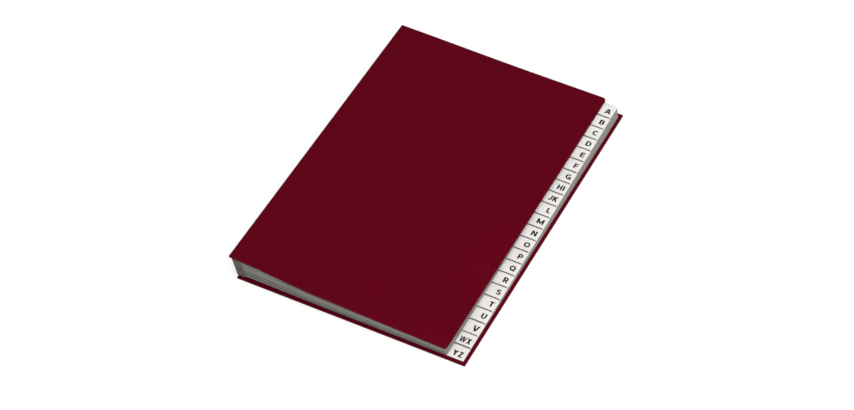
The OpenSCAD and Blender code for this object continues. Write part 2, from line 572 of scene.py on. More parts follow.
@dataclass(frozen=True, eq=False)
class Paper(Finish):
    """Pressed fibre stock, from greyboard to label paper: flecks, a felted relief and its own cut edges."""

    name: str
    slot: str
    colour: tuple
    fleck: tuple
    cut: tuple
    flecks: float = 0.3
    fibre: float = 900.0
    relief: float = 0.00003
    roughness: float = 0.8
    # painted shadow: a dark colour for tail edges, standing for the shaded gaps between leaves
    painted_gap_shadow: tuple = (0.04, 0.04, 0.036, 1.0)

    def look(self, graph: Graph) -> dict:
        """The face colour drifts slowly, carries flecks, and gives way to the cut colour on cut edges.

        Where a cut edge's mark is below zero, the edge takes painted shadow: a dark colour that stands for
        the shade in the gap between leaves.
        """
        plain = graph.group(mottle_group(), {"Colour": self.colour, "Amount": 0.04, "Scale": 30.0})
        fibres = graph.group(fibre_group(), {"Scale": self.fibre, "Flecks": self.flecks})
        felt, rough = fibres["Height"], self.roughness
        face = graph.mix(fibres["Fleck"], plain["Colour"], self.fleck)
        torn = graph.mix(graph.ramp(felt, 0.3, 0.7, 0.0, 0.5), self.cut, self.fleck)
        mark = graph.attribute("cut_edge_and_painted_light")
        before_painted_shadow = graph.mix(mark, face, torn)
        return {
            # painted shadow: marks below zero turn the cut edge to the dark gap-shadow colour
            "Base Color": graph.mix(graph.math("MULTIPLY", mark, -1.0), before_painted_shadow, self.painted_gap_shadow),
            "Roughness": graph.ramp(felt, 0.3, 0.7, rough - 0.06, rough + 0.06),
            "Specular IOR Level": 0.2,
            "Normal": graph.bump(felt, self.relief, 0.4),
        }


@dataclass(frozen=True, eq=False)
class Cloth(Finish):
    """Plain-weave bookbinder's cloth: threads pass over and under each other in both directions."""

    name: str = "spine cloth"
    slot: str = "spine_cloth"
    colour: tuple = (0.2, 0.203, 0.187, 1.0)
    hollow: tuple = (0.1, 0.102, 0.094, 1.0)
    thread: float = 0.00042
    relief: float = 0.00005

    def look(self, graph: Graph) -> dict:
        """The weave's height is the larger of a warp and a weft wave, rounded threads that dip by turns."""
        lay = graph.node("SeparateXYZ", {0: graph.node("UVMap", uv_map="cloth").outputs[0]}).outputs
        along, across = (
            graph.math("SINE", graph.math("MULTIPLY", lay[axis], math.pi / self.thread)) for axis in "XY"
        )
        over = graph.math("MULTIPLY", along, across)
        warp = graph.math("ADD", graph.math("ABSOLUTE", along), over)
        weft = graph.math("SUBTRACT", graph.math("ABSOLUTE", across), over)
        height = graph.math("MAXIMUM", warp, weft)
        thread = graph.mix(graph.ramp(height, 0.35, 1.3, 0.0, 1.0), self.hollow, self.colour)
        dyed = graph.group(mottle_group(), {"Colour": thread, "Amount": 0.1, "Scale": 70.0})
        return {
            "Base Color": dyed["Colour"],
            "Roughness": graph.ramp(height, 0.3, 1.4, 0.92, 0.76),
            "Specular IOR Level": 0.15,
            "Sheen Weight": 0.12,
            "Normal": graph.bump(height, self.relief, 0.5),
        }


@dataclass(frozen=True, eq=False)
class Ink(Finish):
    """Black printing ink, a little thin in places."""

    name: str = "index print"
    slot: str | None = None
    colour: tuple = (0.006, 0.006, 0.007, 1.0)
    thin: tuple = (0.022, 0.021, 0.022, 1.0)

    def look(self, graph: Graph) -> dict:
        """Fine noise shows where the ink lies thin on the paper's grain."""
        cover = graph.ramp(graph.noise(2600.0, 4.0, 0.7), 0.42, 0.7, 0.0, 1.0)
        return {
            "Base Color": graph.mix(cover, self.colour, self.thin),
            "Roughness": graph.ramp(cover, 0.0, 1.0, 0.5, 0.7),
            "Specular IOR Level": 0.2,
        }


class Stock(Enum):
    """The finishes of the sorter."""

    COVERING = Leatherette()
    GREYBOARD = Paper(
        "greyboard", "greyboard", (0.27, 0.25, 0.22, 1.0), fleck=(0.12, 0.11, 0.1, 1.0),
        cut=(0.22, 0.2, 0.18, 1.0), flecks=0.6, fibre=700.0,
    )
    LINING = Paper(
        "lining paper", "lining", (0.38, 0.37, 0.34, 1.0), fleck=(0.2, 0.19, 0.18, 1.0),
        cut=(0.42, 0.41, 0.38, 1.0), flecks=0.25, fibre=1100.0,
    )
    CARD = Paper(
        "leaf card", "leaf_card", (0.31, 0.31, 0.285, 1.0), fleck=(0.17, 0.17, 0.15, 1.0),
        cut=(0.47, 0.445, 0.415, 1.0), flecks=0.35,
    )
    LABEL = Paper(
        "label paper", "label_paper", (0.84, 0.82, 0.805, 1.0), fleck=(0.7, 0.69, 0.67, 1.0),
        cut=(0.74, 0.73, 0.71, 1.0), flecks=0.06, fibre=1600.0, relief=0.00001, roughness=0.55,
    )
    CLOTH = Cloth()
    INK = Ink()


def settle(piece: Piece, stock: Stock, body: str, *nodes: str) -> None:
    """Dresses a piece, lets it ride on a body and stand for CAD nodes, and reports it.

    Args:
        piece: The piece, with its mesh final.
        stock: Its finish.
        body: The body that carries it.
        nodes: The CAD nodes that it stands for.
    """
    stock.value.dress(piece)
    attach(piece, body)
    if nodes:
        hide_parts(*nodes)
    faces, stands_for = len(piece.data.polygons), ", ".join(nodes) or "no node"
    LOG.info("%s: %d faces on %s, for %s", piece.name, faces, body, stands_for)


class Side(Enum):
    """The two covers."""

    FRONT = "front"
    BACK = "back"


@dataclass
class Cover:
    """A covered board: greyboard, leatherette turned in over its edges, and lining paper inside.

    Its own frame has x from the spine edge, y from the tail, and z from the inner face outward.
    """

    plan: SorterPlan
    side: Side
    edge_r: float = 0.5
    spine_corner_r: float = 0.8
    band: float = 4.0
    inner_row: float = 2.0
    outer_row: float = 1.6
    rubbed_w: float = 0.5
    rubbed_inside: float = 0.7
    skin_share: float = 0.95
    arc_steps: int = 8
    edge_steps: int = 6
    column_count: int = 37
    row_count: int = 49

    @property
    def width(self) -> float:
        """Width from the spine edge to the fore-edge."""
        return self.plan.front_w if self.side is Side.FRONT else self.plan.back_w

    @property
    def fore_r(self) -> float:
        """Radius of the two corners at the fore-edge."""
        return self.plan.corner_r if self.side is Side.FRONT else self.spine_corner_r

    def placed(self, x: Array, y: Array, z: Values) -> Array:
        """Points of the cover's own frame in the sorter's frame.

        The front cover follows the leaves under it: it drops as the top leaf does, its tail is drawn in a
        little where it splays, and it turns by that leaf's tilt. The back cover lies on its outer face.

        Args:
            x: Distance from the spine edge.
            y: Distance from the tail.
            z: Distance outward from the inner face.

        Returns:
            The points.
        """
        plan = self.plan
        if self.side is Side.BACK:
            return plan.frame_points(x, y, plan.cover_t - z)
        along_leaf = x + plan.front_edge_x
        drop = plan.drop(0, along_leaf, y - plan.tail_margin)
        drawn = plan.draw_in * plan.splay_share(along_leaf, y - plan.tail_margin)
        across, high = plan.side(0, along_leaf, plan.front_z + z - drop)
        return plan.frame_points(across, y + drawn, high)

    def outward(self, faces: Array) -> Array:
        """Faces turned over on the back cover, whose own frame is upside down."""
        return faces[:, ::-1] if self.side is Side.BACK else faces

    def plate(self, x: Array, y: Array, outer: Values, inner: Values) -> Surface:
        """A closed layer of the cover, over one grid, between two distances from the inner face."""
        made = slab(self.placed(x, y, outer), self.placed(x, y, inner))
        made.faces = self.outward(made.faces)
        return made

    def loop(self, inset: Array, columns: Array, rows: Array) -> Run:
        """Outlines of the cover at several insets, each a closed run from the spine's tail corner round.

        A side's straight run lies between its corner arcs. An arc's radius is the corner's less the
        inset, and where the inset is larger the arc is one point.

        Args:
            inset: Distances in from the cover's edge.
            columns: Shares along the tail and the head.
            rows: Shares along the fore-edge and the spine edge.

        Returns:
            x and y, one row for each inset.
        """
        w, l = self.width, self.plan.cover_l
        inset = inset[:, None]
        near = np.maximum(self.spine_corner_r, inset)
        far = np.maximum(self.fore_r, inset)
        arc = np.linspace(0, math.pi / 2, self.arc_steps + 1)[None, 1:-1]
        near_r, far_r = near - inset, far - inset
        runs = [
            (near + columns * (w - near - far), inset + 0 * columns),
            (w - far + far_r * np.sin(arc), far - far_r * np.cos(arc)),
            (w - inset + 0 * rows, far + rows * (l - 2 * far)),
            (w - far + far_r * np.cos(arc), l - far + far_r * np.sin(arc)),
            (w - far - columns * (w - near - far), l - inset + 0 * columns),
            (near - near_r * np.sin(arc), l - near + near_r * np.cos(arc)),
            (inset + 0 * rows, l - near - rows * (l - 2 * near)),
            (near - near_r * np.cos(arc), near - near_r * np.sin(arc)),
        ]
        return tuple(np.concatenate(run, 1) for run in zip(*runs))

    def covering(self) -> Surface:
        """The leatherette as one sheet: turn-ins, round edges and outer face.

        A profile of insets and heights runs round the outline: in over the inner face, up the round edge,
        and onto the outer face, where a grid closes the middle.
        """
        plan, r, thick = self.plan, self.edge_r, self.plan.cover_t
        turn = np.linspace(0, math.pi / 2, self.edge_steps)
        inner, outer = [plan.turn_in, plan.turn_in / 2, self.inner_row], [self.outer_row, self.band]
        inset = np.concatenate([inner, r * (1 - np.sin(turn)), r * (1 - np.cos(turn)), outer])
        height = np.concatenate(
            [[0, 0, 0], r * (1 - np.cos(turn)), thick - r + r * np.sin(turn), [thick, thick]]
        )
        columns, rows = np.linspace(0, 1, self.column_count), np.linspace(0, 1, self.row_count)
        x, y = self.loop(inset, columns, rows)
        ring = self.placed(x, y, height[:, None])
        number = np.arange(x.size).reshape(x.shape)
        after = np.roll(number, -1, axis=1)
        band = np.stack([number[:-1], after[:-1], after[1:], number[1:]], -1).reshape(-1, 4)
        gx, gy = np.meshgrid(
            self.band + columns * (self.width - 2 * self.band),
            self.band + rows * (plan.cover_l - 2 * self.band),
        )
        middle = self.placed(gx, gy, thick)
        top = cells(np.arange(gx.size).reshape(gx.shape) + x.size).reshape(-1, 4)
        edge = np.exp(-np.square(inset / self.rubbed_w))
        edge = edge * np.where(height > thick / 4, 1.0, self.rubbed_inside)
        rim = np.concatenate([np.repeat(edge, x.shape[1]), np.zeros(gx.size)])
        points = np.concatenate([ring.reshape(-1, 3), middle.reshape(-1, 3)])
        return Surface(points, self.outward(np.concatenate([band, top])), rim=rim)

    def core(self) -> Surface:
        """The greyboard: a slab inside the leatherette, its edges rounded to fit the covering's."""
        plan, near = self.plan, self.plan.skin_t
        r = self.edge_r - near
        far, length = self.width - near, plan.cover_l - near
        corner = max(self.fore_r - near, 2 * r)
        x, y = np.meshgrid(
            spread((near, 4), (near + r, 24), (far - corner, 8), (far - r, 4), (far, 0)),
            spread((near, 4), (near + r, 8), (near + corner, 24), (length - corner, 8), (length - r, 4),
                   (length, 0)),
        )
        inset = np.minimum.reduce([x - near, far - x, y - near, length - y])
        fall = r - np.sqrt(np.square(r) - np.square(np.clip(r - inset, 0, r)))
        x, y = rounded(x, y, far - corner, length - corner, corner)
        x, y = rounded(x, y, far - corner, near + corner, -corner)
        return self.plate(x, y, plan.cover_t - near - fall, near + fall)

    def lining(self) -> Surface:
        """The lining paper: a sheet that fills the window between the turn-ins."""
        plan = self.plan
        near = plan.turn_in + plan.lining_gap
        x, y = np.meshgrid(
            np.linspace(near, self.width - near, 37), np.linspace(near, plan.cover_l - near, 25)
        )
        return self.plate(x, y, plan.skin_t, 0.0)

    def build(self) -> None:
        """Makes the cover's three pieces and lets them ride on its body."""
        name = self.side.value
        body = name + "_cover"
        skin = self.covering().piece(name + "_covering", weld=True, crease=60.0)
        wall = skin.modifiers.new("skin", "SOLIDIFY")
        wall.thickness = self.skin_share * self.plan.skin_t * MM
        wall.offset = -1.0
        settle(skin, Stock.COVERING, body, name + "_wrap")
        settle(self.core().piece(name + "_core"), Stock.GREYBOARD, body, name + "_board")
        settle(self.lining().piece(name + "_paper"), Stock.LINING, body, name + "_lining")


@dataclass(frozen=True)
class TypeFace:
    """Plain bold capitals drawn as strokes, on a grid whose unit is the height of a capital.

    A stroke is two rows of points: its right side and its left side.
    """

    cap_h: float = 6.3
    pen: float = 0.255
    level_pen: float = 0.195
    slant_pen: float = 0.215
    gap: float = 0.13
    single: float = 1.05
    double: float = 0.97
    widest: float = 11.4
    level_slope: float = 0.2
    arc_points: int = 25

    def bar(self, x0: float, y0: float, x1: float, y1: float, pen: float | None = None) -> Array:
        """A straight stroke, cut level at both ends, or upright if it runs level itself.

        Args:
            x0: Start of its middle line along x.
            y0: Start along y.
            x1: End along x.
            y1: End along y.
            pen: Its width, if that isn't the usual one for its direction.

        Returns:
            The stroke.
        """
        ends = np.array([(x0, y0), (x1, y1)])
        across, up = ends[1] - ends[0]
        level = abs(up) < self.level_slope * abs(across)
        half = (pen or (self.level_pen if level else self.pen)) / 2 * math.hypot(across, up)
        left = np.array([0, half / across]) if level else np.array([-half / up, 0])
        return np.stack([ends - left, ends + left])

    def bow(self, *runs: tuple) -> Array:
        """A curved stroke, as wide as the pen where it runs upright, and as the level pen where level.

        Args:
            runs: Points as x and y, and arcs as centre, both radii, first and last angle in degrees.

        Returns:
            The stroke.
        """
        turns = [run if len(run) == 6 else (*run, 0.0, 0.0, 0.0, 0.0) for run in runs]
        path = np.concatenate([
            np.stack([x + rx * np.cos(a), y + ry * np.sin(a)], 1)
            for x, y, rx, ry, start, end in turns
            for a in [np.radians(np.linspace(start, end, self.arc_points if rx else 1))]
        ])
        run = np.gradient(path, axis=0)
        run /= np.linalg.norm(run, axis=1, keepdims=True)
        half = np.hypot(self.level_pen * run[:, :1], self.pen * run[:, 1:]) / 2
        left = np.stack([-run[:, 1], run[:, 0]], 1) * half
        return np.stack([path - left, path + left])

    def bowl(self, x: float, low: float, high: float, reach: float = 0.2) -> Array:
        """A half ring on a stem, from one height to another, which turns past x by its reach."""
        a = self.pen / 2
        arc = (x, (high + low) / 2, reach, (high - low) / 2, 90, -90)
        return self.bow((a, high), (x, high), arc, (a, low))

    def letter(self, name: str) -> tuple[float, list[Array]]:
        """Width and strokes of a capital."""
        bar, bow, bowl = self.bar, self.bow, self.bowl
        a, h, thin = self.pen / 2, self.level_pen / 2, self.slant_pen
        z, stem = 1 - h, bar(a, 0, a, 1)
        round_w, round_h = 0.45 - a, 0.5 - h
        ring = bow((0.45, 0.5, round_w, round_h, 0, 360))
        shapes = {
            "A": (0.9, [bar(a, 0, 0.4, 1), bar(0.9 - a, 0, 0.5, 1), bar(0.2, 0.26, 0.7, 0.26)]),
            "B": (0.76, [stem, bowl(0.4, 0.5, z), bowl(0.42, h, 0.5)]),
            "C": (0.82, [bow((0.45, 0.5, round_w, round_h, 45, 315))]),
            "D": (0.84, [stem, bowl(0.36, h, z, 0.48 - a)]),
            "E": (0.68, [stem, bar(a, z, 0.68, z), bar(a, 0.5, 0.64, 0.5), bar(a, h, 0.68, h)]),
            "F": (0.64, [stem, bar(a, z, 0.64, z), bar(a, 0.47, 0.59, 0.47)]),
            "G": (0.88, [bow((0.45, 0.5, round_w, round_h, 45, 330)), bar(0.46, 0.42, 0.88, 0.42),
                         bar(0.88 - a, 0, 0.88 - a, 0.45)]),
            "H": (0.8, [stem, bar(0.8 - a, 0, 0.8 - a, 1), bar(a, 0.52, 0.8 - a, 0.52)]),
            "I": (2 * a, [stem]),
            "J": (0.62, [bow((0.62 - a, 1), (0.62 - a, 0.3), (0.31, 0.3, 0.31 - a, 0.3 - h, 0, -180))]),
            "K": (0.8, [stem, bar(0.2, 0.34, 0.62, 1), bar(0.34, 0.56, 0.64, 0)]),
            "L": (0.62, [stem, bar(a, h, 0.62, h)]),
            "M": (1.06, [stem, bar(1.06 - a, 0, 1.06 - a, 1),
                         bar(a, 1, 0.53, 0.1, thin), bar(1.06 - a, 1, 0.53, 0.1, thin)]),
            "N": (0.82, [stem, bar(0.82 - a, 0, 0.82 - a, 1), bar(a, 1, 0.82 - a, 0, thin)]),
            "O": (0.9, [ring]),
            "P": (0.72, [stem, bowl(0.38, 0.42, z)]),
            "Q": (0.9, [ring, bar(0.52, 0.3, 0.82, 0.0)]),
            "R": (0.78, [stem, bowl(0.38, 0.42, z), bar(0.38, 0.42, 0.62, 0)]),
            "S": (0.74, [bow((0.37, 0.71, 0.36 - a, 0.29 - h, 20, 265),
                             (0.37, 0.29, 0.37 - a, 0.29 - h, 85, -160))]),
            "T": (0.74, [bar(0.37, 0, 0.37, 1), bar(0, z, 0.74, z)]),
            "U": (0.78, [bow((a, 1), (a, 0.38), (0.39, 0.38, 0.39 - a, 0.38 - h, 180, 360),
                             (0.78 - a, 1))]),
            "V": (0.9, [bar(a, 1, 0.4, 0), bar(0.9 - a, 1, 0.5, 0)]),
            "W": (1.26, [bar(a, 1, 0.33, 0, thin), bar(0.58, 1, 0.39, 0, thin),
                         bar(0.68, 1, 0.87, 0, thin), bar(1.26 - a, 1, 0.93, 0, thin)]),
            "X": (0.86, [bar(0.15, 1, 0.71, 0), bar(0.71, 1, 0.15, 0)]),
            "Y": (0.82, [bar(0.16, 1, 0.41, 0.42), bar(0.66, 1, 0.41, 0.42), bar(0.41, 0, 0.41, 0.5)]),
            "Z": (0.74, [bar(0.04, z, 0.7, z), bar(0.02, h, 0.72, h), bar(0.54, 0.9, 0.18, 0.1)]),
        }
        return shapes[name]

    def word(self, letters: str) -> list[Array]:
        """Strokes of some letters side by side in millimetres, ending at x = 0 and standing on y = 0.

        Two letters are drawn narrower than one, and squeezed where they would be wider than allowed.

        Args:
            letters: The letters.

        Returns:
            The strokes.
        """
        strokes, x = [], 0.0
        for name in letters:
            width, shape = self.letter(name)
            strokes += [stroke + (x, 0.0) for stroke in shape]
            x += width + self.gap
        width = x - self.gap
        narrow = self.cap_h * (self.single if len(letters) == 1 else self.double)
        sides = np.array([min(narrow, self.widest / width), self.cap_h])
        return [(stroke - (width, 0.0)) * sides for stroke in strokes]


@dataclass
class IndexLeaf:
    """A card leaf with its step-cut tab, white label and print, all in the leaf's own frame.

    tail_shift says how far its tail stands in or out of the stack, wave and phase how it bends, tone how
    bright its cut edges are, and the flag after tone whether its tail edge is painted dark, a painted
    shadow of the gap between leaves.
    """

    plan: SorterPlan
    level: int
    tail_shift: float
    wave: float
    phase: float
    tone: float
    # painted shadow: whether the tail edge is painted dark for the gap between leaves
    painted_tail_shadow: bool = False
    type_face: TypeFace = TypeFace()
    shift_power: int = 6
    wave_count: int = 3
    # painted light: how many of the lowest leaves get full-bright fore-edges, against the shade near the
    # back cover
    painted_light_count: int = 4
    letter_margin: float = 3.1
    letter_y: float = 7.8
    lowered: float = 1.9
    lowered_step: float = 0.4
    rule_h: float = 0.7
    rule_stop: float = 1.3
    film_t: float = 0.02
    film_step: float = 0.001
    edge_near: float = 0.5
    tail_near: float = 5.0
    level_within: float = 0.001

    @property
    def body(self) -> str:
        """The body that carries the leaf."""
        return "page_" + self.plan.key(self.level)

    @property
    def tab_tail(self) -> float:
        """Tail edge of the tab, from the leaf's tail."""
        return (self.plan.lowest - self.level) * self.plan.tab_l

    @property
    def tab_head(self) -> float:
        """Head edge of the tab, from the leaf's tail. That of the first tab is the leaf's own."""
        return self.tab_tail + self.plan.tab_l if self.level else self.plan.leaf_l

    def placed(self, x: Array, y: Array, z: Values) -> Array:
        """Points of the leaf's own frame in the sorter's frame.

        The leaf sags with the stack and carries a slow wave across its width, which fades toward the head,
        at the pleat and at the fore-edge, as the room between leaves does. Its tail edge stands a little in
        or out of the stack.

        Args:
            x: Distance from the spine edge.
            y: Distance from the tail.
            z: Distance up from the underside.

        Returns:
            The points.
        """
        plan = self.plan
        across = np.clip((x - plan.pleat_d) / (plan.leaf_w - plan.pleat_d), 0, 1)
        along = y / plan.leaf_l
        room = np.sin(math.pi * across) * (1 - across) * (1 - along)
        wave = self.wave * room * np.sin(self.wave_count * math.pi * across + self.phase)
        shift = self.tail_shift * np.power(np.clip(1 - along, 0, 1), self.shift_power)
        return plan.leaf_points(self.level, x, y + shift, z - plan.drop(self.level, x, y) + wave)

    def layer(self, x: Array, y: Array, low: float, thick: float, keep: Array | None = None) -> Surface:
        """A closed layer of the leaf over the kept cells of a grid, from a height up by a thickness."""
        return slab(self.placed(x, y, low + thick), self.placed(x, y, low), keep)

    def card(self) -> Surface:
        """The card: whole from the head down to its own tab, and cut back by the tab's width below that.

        Its cut edges are paler than its faces by its own tone, except along the step, where the face colour
        is painted shade for the shadow below the front cover's edge. The lowest leaves' fore-edges are
        painted light, at the full cut colour, to offset the shade near the back cover. A marked leaf's tail
        edge is painted dark, a painted shadow of the gap between leaves.
        """
        plan, r = self.plan, self.plan.leaf_r
        cut_x, head = plan.leaf_w - plan.tab_w, plan.leaf_l - r
        xs = spread((0, 3), (plan.pleat_d, 26), (cut_x, 4), (plan.leaf_w - r, 6), (plan.leaf_w, 0))
        low = [] if self.level == plan.lowest else [(0, 12)]
        ys = spread(*low, (self.tab_tail, 12), (head, 6), (plan.leaf_l, 0))
        middle_x, middle_y = (xs[1:] + xs[:-1]) / 2, (ys[1:] + ys[:-1]) / 2
        keep = (middle_x[None, :] < cut_x) | (middle_y[:, None] > self.tab_tail)
        x, y = rounded(*np.meshgrid(xs, ys), plan.leaf_w - r, head, r)
        made = self.layer(x, y, 0.0, plan.leaf_t, keep)
        ends = np.array([cut_x, plan.leaf_w])
        step, fore = plan.leaf_points(self.level, ends, 0.0, plan.leaf_t / 2)[:, 0]
        across, along = made.points[made.faces, 0].mean(1), made.points[made.faces, 1]
        # painted light: the lowest leaves' fore-edges get the full cut colour, to lift them out of the
        # shade near the back cover
        painted_light_fore = (self.level > plan.lowest - self.painted_light_count) & (across > fore - self.edge_near)
        # painted shade: the step wall keeps the face colour, for the shade below the front cover's edge
        painted_step_shade = np.abs(across - step) < self.edge_near
        made.cut *= np.where(painted_step_shade, 0.0, np.where(painted_light_fore, 1.0, self.tone))
        # painted shadow: a marked leaf's tail edge gets the dark gap-shadow colour
        if self.painted_tail_shadow:
            near_tail = along.mean(1) < plan.tail_margin + self.tail_near - plan.cover_l / 2
            made.cut[near_tail & (np.ptp(along, axis=1) < self.level_within)] = -1.0
        return made

    def label(self) -> Surface:
        """The white label: the part of the leaf that no leaf above reaches, less an edge of bare card."""
        plan, r = self.plan, self.plan.leaf_r
        near, low = plan.leaf_w - plan.tab_w + plan.label_inset, self.tab_tail + plan.label_inset
        high = self.tab_head - plan.label_inset
        x, y = np.meshgrid(
            spread((near, 4), (plan.leaf_w - r, 6), (plan.leaf_w, 0)),
            spread((low, 5), (high - r, 6), (high, 0)),
        )
        if self.level == 0:
            x, y = rounded(x, y, plan.leaf_w - r, high - r, r)
        return self.layer(x, y, plan.leaf_t, plan.label_t)

    def rule(self) -> Surface:
        """The printed line along the tab's tail edge, which stops short of the fore-edge."""
        plan = self.plan
        near, low = plan.leaf_w - plan.tab_w + plan.label_inset, self.tab_tail + plan.label_inset
        x, y = np.meshgrid(
            np.linspace(near, plan.leaf_w - self.rule_stop, 7), np.linspace(low, low + self.rule_h, 3)
        )
        return self.layer(x, y, plan.leaf_t + plan.label_t, self.film_t)

    def lettering(self) -> Surface:
        """The index letters and the line as films of ink on the label, each stroke a hair above the last.

        The letters stand at one height on all tabs but the last few, where they come lower step by step.
        """
        plan, face = self.plan, self.type_face
        lowered = self.lowered * max(0.0, 1 - self.lowered_step * (plan.lowest - self.level))
        foot_y = self.tab_tail + self.letter_y - lowered - face.cap_h / 2
        films = [self.rule()] if self.level < plan.lowest else []
        for order, stroke in enumerate(face.word(plan.letters[self.level])):
            x = stroke[..., 0] + plan.leaf_w - self.letter_margin
            y = stroke[..., 1] + foot_y
            films.append(self.layer(x, y, plan.leaf_t + plan.label_t, self.film_t + self.film_step * order))
        starts = np.cumsum([0] + [len(film.points) for film in films[:-1]])
        faces = np.concatenate([film.faces + first for film, first in zip(films, starts)])
        return Surface(np.concatenate([film.points for film in films]), faces)

    def build(self) -> None:
        """Makes the leaf's card, label and print, which ride on its body."""
        key = self.plan.key(self.level)
        settle(self.card().piece("card_" + key), Stock.CARD, self.body, "leaf_" + key)
        settle(self.label().piece("label_" + key), Stock.LABEL, self.body, "tab_" + key)
        settle(self.lettering().piece("print_" + key), Stock.INK, self.body)


@dataclass
class IndexStack:
    """All the index leaves, each a little different from the next by chance."""

    plan: SorterPlan
    chance: np.random.Generator
    shift: tuple[float, float] = (-0.7, 0.5)
    wave: tuple[float, float] = (0.1, 0.24)
    # painted shadow: levels whose tail edges are painted dark for the gaps between leaves
    painted_tail_shadow: tuple[int, ...] = (14, 15, 18, 19)

    def build(self) -> None:
        """Makes the leaves from the top one down. The lowest one's tail isn't shifted."""
        leaves = len(self.plan.letters)
        ranges = (self.shift, self.wave, (0, 2 * math.pi), (0.0, 1.0))
        traits = np.stack([self.chance.uniform(*ends, leaves) for ends in ranges], 1)
        traits[-1, 0] = 0.0
        for level, own in enumerate(traits):
            IndexLeaf(self.plan, level, *own, level in self.painted_tail_shadow).build()


